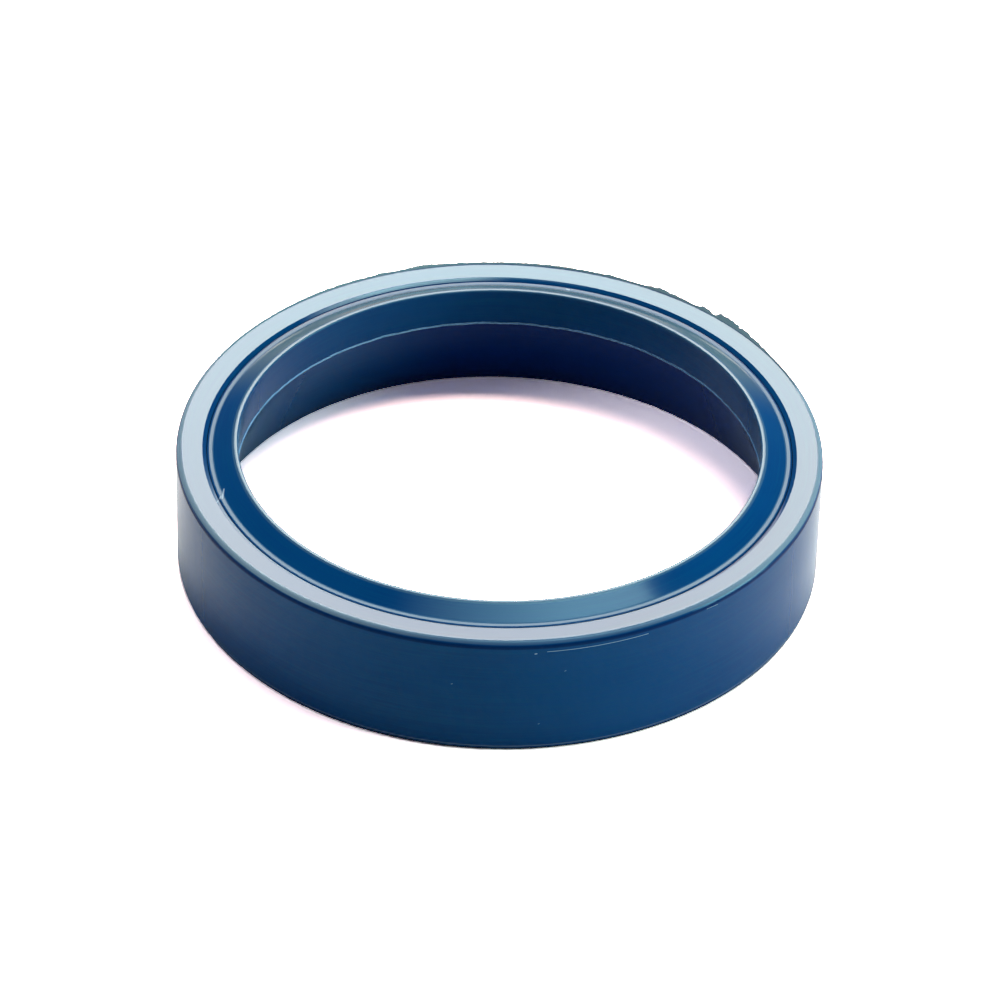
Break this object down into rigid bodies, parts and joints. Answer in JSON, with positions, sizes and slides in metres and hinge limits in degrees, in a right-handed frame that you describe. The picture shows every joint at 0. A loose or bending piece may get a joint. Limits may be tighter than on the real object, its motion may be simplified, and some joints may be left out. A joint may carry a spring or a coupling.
{
  "type": "u cup seal",
  "caption": "Moulded rod seal ring with a narrow U groove between a flat outer leg and a raised inner lip, a sealing edge in the bore and a flared heel.",
  "frame": {"origin": "on the ring's axis, in the plane of the heel's underside", "axes": "+Z along the axis from the heel to the groove and lip; +X and +Y across the ring, with the flash on the +Y side"},
  "size_m": [0.06, 0.06, 0.0127],
  "materials": {
    "polyurethane": "satin"
  },
  "bodies": {
    "root": {"seal_ring": "polyurethane"}
  },
  "joints": []
}
